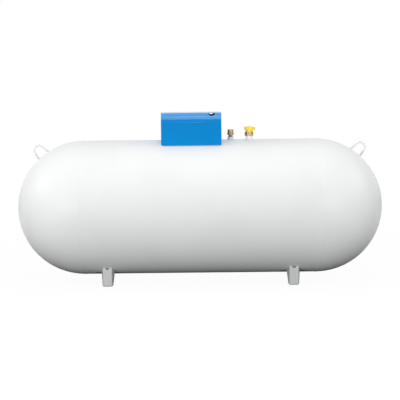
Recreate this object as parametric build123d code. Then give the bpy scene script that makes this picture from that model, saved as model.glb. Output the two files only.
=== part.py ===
from build123d import *
import os
from math import asin, cos, radians, sin, sqrt, tan

# Horizontal pressure tank on four pressed legs, lengths in millimetres and angles in degrees.
# X runs along the tank, -Y is the front, +Z is up, and the origin is on the ground below the middle.

# Vessel
TANK_DIAMETER = 1040.0
TANK_LENGTH = 2830.0
SHELL_WALL = 7.0
HEAD_WALL = 6.0
GROUND_CLEARANCE = 56.0
WELD_WIDTH = 22.0
WELD_HEIGHT = 1.2
LONG_SEAM_ANGLE = 125.0  # from the top, towards the rear

# Lifting lugs, bent from round bar and welded to the heads
LUG_BAR = 16.0
LUG_BEND_RADIUS = 38.0
LUG_SPLAY = 9.0
LUG_HEIGHT = 97.0
LUG_ANGLE = 38.0  # from the top of the head, towards its tip

# Legs, each one folded plate
LEG_INSET = 186.0  # middle of a leg from the nearest girth weld
LEG_SPAN_Y = 590.0  # outside of the front webs to outside of the rear webs
LEG_WIDTH = 72.0  # of the web
LEG_PLATE = 6.0
LEG_BEND = 10.0
LEG_FLANGE_TOP = 110.0
LEG_FLANGE_FOOT = 34.0
LEG_FLANGE_SPLAY = 10.0
FOOT_DEPTH = 54.0
FOOT_STRAIGHT = 12.0
FOOT_CORNER = 10.0
FOOT_BEND = 12.0  # outside radius from the web into the foot
ANCHOR_HOLE = 20.0
WEEP_NOTCH = 30.0

# Hood over the valves
HOOD_CENTRE_X = -61.0
HOOD_WIDTH = 458.0
HOOD_DEPTH = 386.0
HOOD_RISE = 213.0  # top of the hood above the crest of the tank
HOOD_SHOULDER = 68.0
HOOD_SHEET = 3.0
HOOD_CORNER = 9.0
HOOD_SEAT_GAP = 5.0
HOOD_END_GAP = 5.0
HOOD_END_INSET = 3.0

# Round holes through the hood's front and rear shoulders, in line with each other
PORT_INSET = 73.0  # middle of the holes from the hood's right end
PORT_ELEVATION = 60.0
FRONT_PORT_HOLE = 48.0
REAR_PORT_HOLE = 36.0

# Rear hinges of the hood
HINGE_INSET = 79.0  # middle of a hinge from the hood's nearest end
HINGE_STANDOFF = 12.0  # pin axis behind the rear skirt
HINGE_LIFT = 24.0  # pin axis above the tank below it
HINGE_PIN = 9.0
HINGE_KNUCKLE = 18.0
HINGE_WIDTH = 34.0
HINGE_EAR = 6.0
HINGE_STRAP_HEIGHT = 70.0
HINGE_STRAP = 4.0
HINGE_STRAP_CORNER = 8.5
HINGE_SIDE_GAP = 0.6
PIN_CLEARANCE = 0.2
PIN_HEAD = 14.0
PIN_HEAD_LENGTH = 4.0

# Valves and fittings, positions along the crest
LIQUID_VALVE_X = 242.0
FILL_VALVE_X = 386.0
GAUGE_X = -200.0
SERVICE_VALVE_X = -60.0
RELIEF_VALVE_X = 75.0
THREAD_GAP = 0.25
THREAD_ENGAGED = 10.0
THREAD_RUNOUT = 2.0
COUPLING_EDGE = 1.8
HEX_CHAMFER = 2.0

# Liquid valve, heights above the crest
LIQUID_COUPLING = 46.0
LIQUID_COUPLING_TOP = 19.0
LIQUID_THREAD = 33.0
LIQUID_HEX = 48.0
LIQUID_HEX_BOTTOM = 37.0
LIQUID_HEX_TOP = 49.0
LIQUID_CAP_HEX = 39.0
LIQUID_CAP_TOP = 77.0
LIQUID_SPIGOT = 28.0
LIQUID_SPIGOT_TOP = 69.0

# Fill valve, heights above the crest
FILL_COUPLING = 54.0
FILL_COUPLING_TOP = 27.0
FILL_THREAD = 40.0
FILL_HEX = 58.0
FILL_HEX_TOP = 55.0
FILL_NECK = 50.0
FILL_CAP_BOTTOM = 65.0
FILL_SPIGOT = 44.0
FILL_SPIGOT_TOP = 84.0
FILL_CAP_SKIRT = 58.0
FILL_CAP_RIM = 76.0
FILL_CAP_RIM_HEIGHT = 18.0
FILL_CAP_TOP = 97.0
FILL_CAP_EDGE = 6.0
FILL_CAP_WALL = 3.0
FILL_CAP_GRIPS = 10
FILL_GRIP = 9.0
FILL_GRIP_DEPTH = 2.7
CAP_EAR_REACH = 11.0  # beyond the cap's rim
CAP_EAR_WIDTH = 17.0
CAP_EAR_THICKNESS = 16.0
LANYARD_STRAP = 9.0
LANYARD_THICKNESS = 3.0
LANYARD_BEND = 4.5

# Service valve under the hood, heights above the crest
SERVICE_COUPLING = 46.0
SERVICE_COUPLING_TOP = 16.0
SERVICE_THREAD = 30.0
SERVICE_HEX = 40.0
SERVICE_HEX_BOTTOM = 24.0
SERVICE_HEX_TOP = 38.0
SERVICE_BODY = 36.0
SERVICE_BODY_TOP = 84.0
SERVICE_OUTLET = 34.0
SERVICE_OUTLET_Z = 61.0
SERVICE_OUTLET_REACH = 46.0
SERVICE_OUTLET_BORE = 22.0
SERVICE_OUTLET_DEPTH = 24.0
SERVICE_BONNET = 30.0
SERVICE_BONNET_TOP = 98.0
SERVICE_STEM = 10.0
SERVICE_STEM_TOP = 122.0
HANDWHEEL = 66.0
HANDWHEEL_BOTTOM = 108.0
HANDWHEEL_THICKNESS = 11.0
HANDWHEEL_LOBES = 8
HANDWHEEL_SCALLOP = 16.0
HANDWHEEL_SCALLOP_DEPTH = 4.0
HANDWHEEL_DISH = 41.0
HANDWHEEL_DISH_DEPTH = 4.5
HANDWHEEL_HUB = 20.0

# Relief valve under the hood, heights above the crest
RELIEF_COUPLING = 58.0
RELIEF_COUPLING_TOP = 16.0
RELIEF_THREAD = 40.0
RELIEF_HEX = 52.0
RELIEF_HEX_BOTTOM = 26.0
RELIEF_HEX_TOP = 44.0
RELIEF_BODY = 44.0
RELIEF_BODY_TOP = 96.0
RELIEF_CAP_SKIRT = 12.0
RELIEF_CAP_WALL = 2.5

# Level gauge under the hood, heights above the crest
GAUGE_PAD = 100.0
GAUGE_PAD_TOP = 16.0
GAUGE_PAD_EDGE = 2.0
GAUGE_FLANGE = 92.0
GAUGE_FLANGE_THICKNESS = 10.0
GAUGE_FLANGE_EDGE = 1.6
GAUGE_TURRET = 62.0
GAUGE_TURRET_HEIGHT = 22.0
GAUGE_TURRET_TAPER = 4.0
GAUGE_LENS = 52.0
GAUGE_LENS_THICKNESS = 5.0
GAUGE_LENS_SEAT = 3.0  # depth of the lens in the turret
GAUGE_LENS_EDGE = 1.2
GAUGE_DIAL_POCKET = 46.0
GAUGE_DIAL_DEPTH = 2.0

TANK_RADIUS = TANK_DIAMETER / 2
AXIS_Z = GROUND_CLEARANCE + TANK_RADIUS
GIRTH_X = TANK_LENGTH / 2 - TANK_RADIUS
CREST_Z = AXIS_Z + TANK_RADIUS
HOOD_HALF = HOOD_DEPTH / 2
HOOD_TOP_Z = CREST_Z + HOOD_RISE


def top_of_tank(y):
    """Height of the tank's upper surface at a distance y from its middle."""
    return AXIS_Z + sqrt(TANK_RADIUS**2 - y**2)


def tank_envelope(extra=0.0):
    """Solid drum of the barrel's outer size, for fitting other pieces to its curve."""
    return Pos(0, 0, AXIS_Z) * Rot(0, 90, 0) * Cylinder(TANK_RADIUS + extra, TANK_LENGTH)


def turned(profile):
    """Solid of revolution about the tank's axis, from a profile of points along x and radius."""
    return Pos(0, 0, AXIS_Z) * revolve(profile, axis=Axis.X)


def half_crown(x, side):
    """Half of a girth weld's rounded crown: an arc from its ridge at x to the plate, towards side."""
    ridge_radius = (WELD_WIDTH**2 / 4 + WELD_HEIGHT**2) / (2 * WELD_HEIGHT)
    quarter = WELD_WIDTH / 4
    mid = TANK_RADIUS + WELD_HEIGHT - ridge_radius + sqrt(ridge_radius**2 - quarter**2)
    toe = WELD_WIDTH / 2
    return [(x, TANK_RADIUS + WELD_HEIGHT), (x + side * quarter, mid), (x + side * toe, TANK_RADIUS)]


def shell_barrel():
    """Rolled barrel with its half of both girth welds and the long seam's crown."""
    inner = TANK_RADIUS - SHELL_WALL
    left = half_crown(-GIRTH_X, 1)
    right = half_crown(GIRTH_X, -1)
    profile = make_face(
        [
            Line((-GIRTH_X, inner), left[0]),
            ThreePointArc(*left),
            Line(left[2], right[2]),
            ThreePointArc(*right),
            Line(right[0], (GIRTH_X, inner)),
            Line((GIRTH_X, inner), (-GIRTH_X, inner)),
        ]
    )
    return turned(profile) + long_seam()


def long_seam():
    """Crown of the barrel's lengthwise weld, between the girth welds."""
    half = WELD_WIDTH / 2
    root = TANK_RADIUS - SHELL_WALL / 2
    crown = make_face(
        [
            ThreePointArc((-half, TANK_RADIUS), (0, TANK_RADIUS + WELD_HEIGHT), (half, TANK_RADIUS)),
            Polyline((half, TANK_RADIUS), (half, root), (-half, root), (-half, TANK_RADIUS)),
        ]
    )
    bead = extrude(Plane.YZ * crown, amount=GIRTH_X - WELD_WIDTH / 2, both=True)
    return Pos(0, 0, AXIS_Z) * Rot(-LONG_SEAM_ANGLE, 0, 0) * bead


def head(side):
    """Half-round dished head with its half of the girth weld; side is -1 for the left one."""
    crown = half_crown(GIRTH_X, 1)
    toe_angle = asin(WELD_WIDTH / 2 / TANK_RADIUS)
    toe = (GIRTH_X + TANK_RADIUS * sin(toe_angle), TANK_RADIUS * cos(toe_angle))
    inner = TANK_RADIUS - HEAD_WALL
    middle = (radians(90) + toe_angle) / 2
    outer_mid = (GIRTH_X + TANK_RADIUS * sin(middle), TANK_RADIUS * cos(middle))
    inner_mid = (GIRTH_X + inner * sin(radians(45)), inner * cos(radians(45)))
    tip = GIRTH_X + TANK_RADIUS
    profile = make_face(
        [
            Line((GIRTH_X, inner), crown[0]),
            ThreePointArc(crown[0], crown[1], toe),
            ThreePointArc(toe, outer_mid, (tip, 0)),
            Line((tip, 0), (tip - HEAD_WALL, 0)),
            ThreePointArc((tip - HEAD_WALL, 0), inner_mid, (GIRTH_X, inner)),
        ]
    )
    solid = turned(profile)
    return solid if side > 0 else mirror(solid, Plane.YZ)


def lifting_lug(side):
    """U of round bar with splayed legs, standing square on the head and cut to its curve."""
    lean = radians(LUG_SPLAY)
    arc_z = LUG_HEIGHT - LUG_BAR / 2 - LUG_BEND_RADIUS
    tangent_x = LUG_BEND_RADIUS * cos(lean)
    tangent_z = arc_z + LUG_BEND_RADIUS * sin(lean)
    below = LUG_BAR
    foot_x = tangent_x + (tangent_z + below) * tan(lean)
    path = Wire(
        [
            Line((-foot_x, -below), (-tangent_x, tangent_z)),
            ThreePointArc(
                (-tangent_x, tangent_z), (0, arc_z + LUG_BEND_RADIUS), (tangent_x, tangent_z)
            ),
            Line((tangent_x, tangent_z), (foot_x, -below)),
        ]
    )
    start = Plane(origin=path @ 0, z_dir=path % 0)
    bar = sweep(start * Circle(LUG_BAR / 2), path=path)
    upright = Rot(90, 0, 0) * bar
    seat = Pos(GIRTH_X, 0, AXIS_Z) * Rot(0, LUG_ANGLE, 0) * Pos(0, 0, TANK_RADIUS)
    solid = seat * upright - Pos(GIRTH_X, 0, AXIS_Z) * Sphere(TANK_RADIUS)
    return solid if side > 0 else mirror(solid, Plane.YZ)


def channel_outline(inset, depth):
    """Plan of a leg's folded channel with splayed flanges, drawn inset from its outer faces."""
    splay = radians(LEG_FLANGE_SPLAY)
    face_y = -LEG_SPAN_Y / 2
    skin = LEG_WIDTH / 2 - inset / cos(splay)
    near = skin + inset * tan(splay)
    far = skin + depth * tan(splay)
    front, back = face_y + inset, face_y + depth
    corners = [(-near, front), (near, front), (far, back), (-far, back)]
    outline = make_face(Polyline(*corners, close=True))
    return fillet(outline.vertices().group_by(Axis.Y)[0], LEG_BEND - inset)


def flange_taper(height):
    """Piece cut away behind the flanges, from their narrow foot to their full depth at the tank."""
    foot_back = -LEG_SPAN_Y / 2 + LEG_FLANGE_FOOT
    deep = -LEG_SPAN_Y / 2 + LEG_FLANGE_TOP
    corners = [(foot_back, 0), (foot_back, FOOT_STRAIGHT), (deep, height), (0, height), (0, 0)]
    return extrude(Plane.YZ * make_face(Polyline(*corners, close=True)), amount=LEG_WIDTH, both=True)


def foot_plate():
    """Flat foot between the flanges, reaching out behind them, with rounded corners."""
    plan = Pos(0, (FOOT_DEPTH - LEG_SPAN_Y) / 2) * Rectangle(LEG_WIDTH, FOOT_DEPTH)
    plan = fillet(plan.vertices().group_by(Axis.Y)[0], LEG_BEND)
    plan = fillet(plan.vertices().group_by(Axis.Y)[-1], FOOT_CORNER)
    return extrude(plan, amount=LEG_PLATE)


def leg(side_x, side_y):
    """Folded leg: web, two splayed flanges and foot, cut to the barrel, with a weep notch."""
    height = top_of_leg()
    section = channel_outline(0, LEG_FLANGE_TOP) - channel_outline(LEG_PLATE, 2 * LEG_FLANGE_TOP)
    channel = extrude(section, amount=2 * height) - flange_taper(height)
    solid = channel + foot_plate()
    inner_bend = solid.edges().filter_by(Axis.X).group_by(Axis.Z)[1].group_by(Axis.Y)[0]
    solid = fillet(inner_bend, FOOT_BEND - LEG_PLATE)
    outer_bend = solid.edges().filter_by(Axis.X).group_by(Axis.Z)[0].group_by(Axis.Y)[0]
    solid = fillet(outer_bend, FOOT_BEND)
    solid -= Pos(0, anchor_y(), 0) * Cylinder(ANCHOR_HOLE / 2, 4 * LEG_PLATE)
    notch = Pos(0, -LEG_SPAN_Y / 2, height) * Rot(90, 0, 0)
    solid -= notch * Cylinder(WEEP_NOTCH / 2, 4 * LEG_PLATE)
    solid = Pos(leg_x(), 0, 0) * (solid - tank_envelope())
    solid = solid if side_x > 0 else mirror(solid, Plane.YZ)
    return solid if side_y < 0 else mirror(solid, Plane.XZ)


def leg_x():
    """Distance of a leg's middle from the tank's middle."""
    return GIRTH_X - LEG_INSET


def top_of_leg():
    """Height where the outside of a leg's web meets the underside of the tank."""
    return 2 * AXIS_Z - top_of_tank(LEG_SPAN_Y / 2)


def anchor_y():
    """Distance of the front anchor holes from the middle, as a front y."""
    return -LEG_SPAN_Y / 2 + (LEG_PLATE + FOOT_DEPTH) / 2


def hood_outline(inset, bottom):
    """Section of the hood with round shoulders, drawn inset from its outer face."""
    width = HOOD_DEPTH - 2 * inset
    top = HOOD_TOP_Z - inset
    outline = Pos(0, (top + bottom) / 2) * Rectangle(width, top - bottom)
    return fillet(outline.vertices().group_by(Axis.Y)[-1], HOOD_SHOULDER - inset)


def hood_seat_z():
    """Height of the skirts' lower edges, just off the tank."""
    return top_of_tank(HOOD_HALF - HOOD_SHEET) + HOOD_SEAT_GAP


def port_plane(side):
    """Plane square to a shoulder where its hole is centred; side is -1 for the front one."""
    turn = radians(PORT_ELEVATION)
    y = side * (HOOD_HALF - HOOD_SHOULDER + HOOD_SHOULDER * cos(turn))
    z = HOOD_TOP_Z - HOOD_SHOULDER + HOOD_SHOULDER * sin(turn)
    return Plane(
        origin=(HOOD_CENTRE_X + HOOD_WIDTH / 2 - PORT_INSET, y, z),
        x_dir=(1, 0, 0),
        z_dir=(0, side * cos(turn), sin(turn)),
    )


def hood_cover():
    """Bent sheet of the hood: front, shoulders, top and rear in one, with a hole in each shoulder."""
    bottom = hood_seat_z()
    section = hood_outline(0, bottom) - hood_outline(HOOD_SHEET, bottom)
    sheet = extrude(Plane.YZ * section, amount=HOOD_WIDTH / 2, both=True)
    lower_corners = sheet.edges().filter_by(Axis.Y).group_by(Axis.Z)[0]
    sheet = Pos(HOOD_CENTRE_X, 0, 0) * fillet(lower_corners, HOOD_CORNER)
    front = port_plane(-1) * Cylinder(FRONT_PORT_HOLE / 2, HOOD_SHOULDER)
    rear = port_plane(1) * Cylinder(REAR_PORT_HOLE / 2, HOOD_SHOULDER)
    return sheet - front - rear


def hood_end(side):
    """Flat end plate inside the cover, its lower edge following the tank."""
    bottom = top_of_tank(HOOD_HALF)
    plate = extrude(Plane.YZ * hood_outline(HOOD_SHEET, bottom), amount=HOOD_SHEET / 2, both=True)
    x = HOOD_CENTRE_X + side * (HOOD_WIDTH / 2 - HOOD_END_INSET - HOOD_SHEET / 2)
    return Pos(x, 0, 0) * plate - tank_envelope(HOOD_END_GAP)


def hinge_point():
    """Pin axis of the hood's hinges, as y and z."""
    y = HOOD_HALF + HINGE_STANDOFF
    return y, top_of_tank(y) + HINGE_LIFT


def hinge_x(side):
    """Middle of a hinge along the tank."""
    return HOOD_CENTRE_X + side * (HOOD_WIDTH / 2 - HINGE_INSET)


def along_x(radius, length):
    """Round bar along X, centred on the origin."""
    return Rot(0, 90, 0) * Cylinder(radius, length)


def hinge_strap(side):
    """Leaf on the hood's rear skirt, rolled into a knuckle round the pin."""
    y, z = hinge_point()
    leaf_y = HOOD_HALF + HINGE_STRAP / 2
    leaf = Pos(0, leaf_y, z + HINGE_STRAP_HEIGHT / 2)
    leaf *= Box(HINGE_WIDTH, HINGE_STRAP, HINGE_STRAP_HEIGHT)
    leaf = fillet(leaf.edges().filter_by(Axis.Y).group_by(Axis.Z)[-1], HINGE_STRAP_CORNER)
    web = Pos(0, HOOD_HALF + HINGE_STANDOFF / 2, z + HINGE_KNUCKLE / 4)
    web *= Box(HINGE_WIDTH, HINGE_STANDOFF, HINGE_KNUCKLE / 2)
    knuckle = Pos(0, y, z) * along_x(HINGE_KNUCKLE / 2, HINGE_WIDTH)
    bore = Pos(0, y, z) * along_x(HINGE_PIN / 2 + PIN_CLEARANCE, 2 * HINGE_WIDTH)
    return Pos(hinge_x(side), 0, 0) * (leaf + web + knuckle - bore)


def hinge_bracket(side):
    """Pair of ears on a base, welded to the tank, that hold the pin."""
    y, z = hinge_point()
    ear_x = HINGE_WIDTH / 2 + HINGE_SIDE_GAP + HINGE_EAR / 2
    ear_foot = Pos(0, y, z - HINGE_LIFT) * Box(HINGE_EAR, HINGE_KNUCKLE, 2 * HINGE_LIFT)
    ear = Pos(0, y, z) * along_x(HINGE_KNUCKLE / 2, HINGE_EAR) + ear_foot
    base_width = 2 * ear_x + HINGE_EAR
    base_top = z - HINGE_KNUCKLE / 2 - HINGE_STRAP
    base = Pos(0, y, base_top - HINGE_LIFT / 2) * Box(base_width, HINGE_KNUCKLE, HINGE_LIFT)
    bracket = base + Pos(ear_x, 0, 0) * ear + Pos(-ear_x, 0, 0) * ear
    bracket -= Pos(0, y, z) * along_x(HINGE_PIN / 2 + PIN_CLEARANCE, 2 * base_width)
    return Pos(hinge_x(side), 0, 0) * (bracket - tank_envelope())


def hinge_pin(side):
    """Headed pin through the ears and the knuckle."""
    y, z = hinge_point()
    span = HINGE_WIDTH + 2 * (HINGE_SIDE_GAP + HINGE_EAR) + 2 * PIN_CLEARANCE
    shank = along_x(HINGE_PIN / 2, span)
    ends = [s * (span + PIN_HEAD_LENGTH) / 2 for s in (-1, 1)]
    heads = [Pos(x, 0, 0) * along_x(PIN_HEAD / 2, PIN_HEAD_LENGTH) for x in ends]
    return Pos(hinge_x(side), y, z) * (shank + heads)


def hex_prism(flats, bottom, top):
    """Upright hexagon bar between two heights, with the corners of both ends turned off."""
    bar = Pos(0, 0, bottom) * RegularPolygon(flats / 2, 6, major_radius=False)
    bar = extrude(bar, amount=top - bottom)
    corner = flats / 2 / cos(radians(30))
    outline = [
        (0, bottom),
        (flats / 2, bottom),
        (corner, bottom + HEX_CHAMFER),
        (corner, top - HEX_CHAMFER),
        (flats / 2, top),
        (0, top),
    ]
    turned_ends = make_face(Polyline(*outline, close=True))
    return bar & revolve(Plane.XZ * turned_ends, axis=Axis.Z)


def drum(diameter, bottom, top):
    """Upright round bar between two heights."""
    return Pos(0, 0, (bottom + top) / 2) * Cylinder(diameter / 2, top - bottom)


def on_crest(x, piece):
    """A fitting drawn about its own axis, stood on the tank's crest at x."""
    return Pos(x, 0, CREST_Z) * piece


def coupling(x, diameter, thread, height):
    """Welded half coupling, cut to the tank, with a plain bore for the thread."""
    below = TANK_RADIUS - sqrt(TANK_RADIUS**2 - diameter**2 / 4)
    ring = drum(diameter, -2 * below - SHELL_WALL, height)
    ring = chamfer(ring.edges().group_by(Axis.Z)[-1], COUPLING_EDGE)
    bore = drum(thread + 2 * THREAD_GAP, height - THREAD_ENGAGED - THREAD_RUNOUT, 2 * height)
    return on_crest(x, ring) - tank_envelope() - on_crest(x, bore)


def liquid_valve_body():
    """Brass liquid valve: thread, wrench hexagon and the spigot inside its cap."""
    body = drum(LIQUID_THREAD, LIQUID_COUPLING_TOP - THREAD_ENGAGED, LIQUID_HEX_BOTTOM)
    body += hex_prism(LIQUID_HEX, LIQUID_HEX_BOTTOM, LIQUID_HEX_TOP)
    body += drum(LIQUID_SPIGOT, LIQUID_HEX_TOP, LIQUID_SPIGOT_TOP)
    return on_crest(LIQUID_VALVE_X, body)


def liquid_valve_cap():
    """Hexagon cap screwed over the liquid valve's spigot."""
    cap = hex_prism(LIQUID_CAP_HEX, LIQUID_HEX_TOP, LIQUID_CAP_TOP)
    hollow = drum(LIQUID_SPIGOT + 2 * THREAD_GAP, LIQUID_HEX_TOP, LIQUID_SPIGOT_TOP + THREAD_GAP)
    return on_crest(LIQUID_VALVE_X, cap - hollow)


def fill_valve_body():
    """Brass fill valve: thread, wrench hexagon, neck and hose spigot."""
    body = drum(FILL_THREAD, FILL_COUPLING_TOP - THREAD_ENGAGED, FILL_COUPLING_TOP)
    body += hex_prism(FILL_HEX, FILL_COUPLING_TOP, FILL_HEX_TOP)
    body += drum(FILL_NECK, FILL_HEX_TOP, FILL_CAP_BOTTOM)
    body += drum(FILL_SPIGOT, FILL_CAP_BOTTOM, FILL_SPIGOT_TOP)
    return on_crest(FILL_VALVE_X, body)


def cap_ear_bottom():
    """Height of the underside of the cap's ear, above the crest."""
    return FILL_CAP_TOP - FILL_CAP_EDGE - CAP_EAR_THICKNESS


def cap_ear():
    """Rounded tab on the cap's rim that the strap hangs from."""
    start = FILL_SPIGOT / 2 + FILL_CAP_WALL
    end = FILL_CAP_RIM / 2 + CAP_EAR_REACH
    tab = Pos((start + end) / 2, 0, cap_ear_bottom()) * SlotOverall(end - start, CAP_EAR_WIDTH)
    return extrude(tab, amount=CAP_EAR_THICKNESS)


def fill_valve_cap():
    """Plastic dust cap, flared to a wide rim with finger grips and an ear for its strap."""
    skirt = FILL_CAP_SKIRT / 2
    rim = FILL_CAP_RIM / 2
    rim_bottom = FILL_CAP_TOP - FILL_CAP_RIM_HEIGHT
    edge = FILL_CAP_TOP - FILL_CAP_EDGE
    outline = make_face(
        [
            Polyline((0, FILL_CAP_TOP), (0, FILL_CAP_BOTTOM), (skirt, FILL_CAP_BOTTOM)),
            Spline((skirt, FILL_CAP_BOTTOM), (rim, rim_bottom), tangents=((0, 1), (0.6, 1))),
            Polyline((rim, rim_bottom), (rim, edge), (rim - FILL_CAP_EDGE, FILL_CAP_TOP), (0, FILL_CAP_TOP)),
        ]
    )
    cap = revolve(Plane.XZ * outline, axis=Axis.Z)
    groove = drum(FILL_GRIP, rim_bottom - FILL_GRIP, FILL_CAP_TOP + FILL_CAP_EDGE)
    reach = rim + FILL_GRIP / 2 - FILL_GRIP_DEPTH
    cap -= [place * groove for place in PolarLocations(reach, FILL_CAP_GRIPS, 180 / FILL_CAP_GRIPS)]
    cap += cap_ear()
    cap -= drum(FILL_SPIGOT + 2 * THREAD_GAP, FILL_CAP_BOTTOM, FILL_SPIGOT_TOP + THREAD_GAP)
    return on_crest(FILL_VALVE_X, cap)


def fill_cap_lanyard():
    """Strap that keeps the cap on the valve: a ring on the neck and an arm up to the cap's ear."""
    ring_mid = (FILL_HEX_TOP + FILL_CAP_BOTTOM) / 2
    half = LANYARD_THICKNESS / 2
    bore = FILL_NECK / 2 + THREAD_GAP
    ring = drum(2 * bore + 2 * LANYARD_THICKNESS, ring_mid - half, ring_mid + half)
    far = (FILL_CAP_RIM + CAP_EAR_REACH) / 2
    corners = [(bore + half, ring_mid), (far, ring_mid), (far, cap_ear_bottom())]
    line = Plane.XZ * FilletPolyline(*corners, radius=LANYARD_BEND)
    section = Plane(origin=line @ 0, x_dir=(0, 1, 0), z_dir=line % 0)
    strap = sweep(section * Rectangle(LANYARD_STRAP, LANYARD_THICKNESS), path=line)
    solid = ring + strap - drum(2 * bore, FILL_COUPLING_TOP, FILL_CAP_BOTTOM)
    return on_crest(FILL_VALVE_X, solid)


def service_valve_body():
    """Brass angle valve whose threaded outlet faces the front."""
    body = drum(SERVICE_THREAD, SERVICE_COUPLING_TOP - THREAD_ENGAGED, SERVICE_HEX_BOTTOM)
    body += hex_prism(SERVICE_HEX, SERVICE_HEX_BOTTOM, SERVICE_HEX_TOP)
    body += drum(SERVICE_BODY, SERVICE_HEX_TOP, SERVICE_BODY_TOP)
    body += hex_prism(SERVICE_BONNET, SERVICE_BODY_TOP, SERVICE_BONNET_TOP)
    body += drum(SERVICE_STEM, SERVICE_BONNET_TOP, SERVICE_STEM_TOP)
    outlet = Pos(0, -SERVICE_OUTLET_REACH / 2, SERVICE_OUTLET_Z) * Rot(90, 0, 0)
    body += outlet * Cylinder(SERVICE_OUTLET / 2, SERVICE_OUTLET_REACH)
    mouth = Pos(0, SERVICE_OUTLET_DEPTH / 2 - SERVICE_OUTLET_REACH, SERVICE_OUTLET_Z) * Rot(90, 0, 0)
    body -= mouth * Cylinder(SERVICE_OUTLET_BORE / 2, SERVICE_OUTLET_DEPTH)
    return on_crest(SERVICE_VALVE_X, body)


def service_handwheel():
    """Cast handwheel with a scalloped rim, on the valve's stem."""
    top = HANDWHEEL_BOTTOM + HANDWHEEL_THICKNESS
    wheel = drum(HANDWHEEL, HANDWHEEL_BOTTOM, top)
    scallop = drum(HANDWHEEL_SCALLOP, HANDWHEEL_BOTTOM, top)
    reach = (HANDWHEEL + HANDWHEEL_SCALLOP) / 2 - HANDWHEEL_SCALLOP_DEPTH
    wheel -= [place * scallop for place in PolarLocations(reach, HANDWHEEL_LOBES)]
    dish = drum(HANDWHEEL_DISH, top - HANDWHEEL_DISH_DEPTH, top)
    hub = drum(HANDWHEEL_HUB, HANDWHEEL_BOTTOM, top)
    bore = drum(SERVICE_STEM + 2 * THREAD_GAP, HANDWHEEL_BOTTOM, top)
    return on_crest(SERVICE_VALVE_X, wheel - dish + hub - bore)


def relief_valve_body():
    """Brass spring relief valve, a hexagon and a plain barrel."""
    body = drum(RELIEF_THREAD, RELIEF_COUPLING_TOP - THREAD_ENGAGED, RELIEF_HEX_BOTTOM)
    body += hex_prism(RELIEF_HEX, RELIEF_HEX_BOTTOM, RELIEF_HEX_TOP)
    body += drum(RELIEF_BODY, RELIEF_HEX_TOP, RELIEF_BODY_TOP)
    return on_crest(RELIEF_VALVE_X, body)


def relief_valve_cap():
    """Rain cap pressed over the relief valve's mouth."""
    outside = RELIEF_BODY + 2 * THREAD_GAP + 2 * RELIEF_CAP_WALL
    low = RELIEF_BODY_TOP - RELIEF_CAP_SKIRT
    top = RELIEF_BODY_TOP + THREAD_GAP + RELIEF_CAP_WALL
    cap = drum(outside, low, top)
    cap = fillet(cap.edges().group_by(Axis.Z)[-1], RELIEF_CAP_WALL)
    cap -= drum(RELIEF_BODY + 2 * THREAD_GAP, low, RELIEF_BODY_TOP + THREAD_GAP)
    return on_crest(RELIEF_VALVE_X, cap)


def gauge_pad():
    """Flat pad welded to the tank under the level gauge."""
    below = TANK_RADIUS - sqrt(TANK_RADIUS**2 - GAUGE_PAD**2 / 4)
    pad = drum(GAUGE_PAD, -2 * below - SHELL_WALL, GAUGE_PAD_TOP)
    pad = chamfer(pad.edges().group_by(Axis.Z)[-1], GAUGE_PAD_EDGE)
    return on_crest(GAUGE_X, pad) - tank_envelope()


def lens_seat():
    """Height of the shoulder that the gauge's lens rests on, above the crest."""
    return GAUGE_PAD_TOP + GAUGE_FLANGE_THICKNESS + GAUGE_TURRET_HEIGHT - GAUGE_LENS_SEAT


def gauge_head():
    """Cast gauge head: bolted flange and tapered turret, sunk for the lens and the dial below it."""
    flange_top = GAUGE_PAD_TOP + GAUGE_FLANGE_THICKNESS
    body = drum(GAUGE_FLANGE, GAUGE_PAD_TOP, flange_top)
    body = chamfer(body.edges().group_by(Axis.Z)[-1], GAUGE_FLANGE_EDGE)
    turret = Pos(0, 0, flange_top + GAUGE_TURRET_HEIGHT / 2)
    turret *= Cone(GAUGE_TURRET / 2 + GAUGE_TURRET_TAPER, GAUGE_TURRET / 2, GAUGE_TURRET_HEIGHT)
    recess = drum(GAUGE_LENS + 2 * THREAD_GAP, lens_seat(), lens_seat() + GAUGE_TURRET_HEIGHT)
    pocket = drum(GAUGE_DIAL_POCKET, lens_seat() - GAUGE_DIAL_DEPTH, lens_seat())
    return on_crest(GAUGE_X, body + turret - recess - pocket)


def gauge_lens():
    """Clear lens seated in the gauge head."""
    lens = drum(GAUGE_LENS, lens_seat(), lens_seat() + GAUGE_LENS_THICKNESS)
    lens = fillet(lens.edges().group_by(Axis.Z)[-1], GAUGE_LENS_EDGE)
    return on_crest(GAUGE_X, lens)


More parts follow.
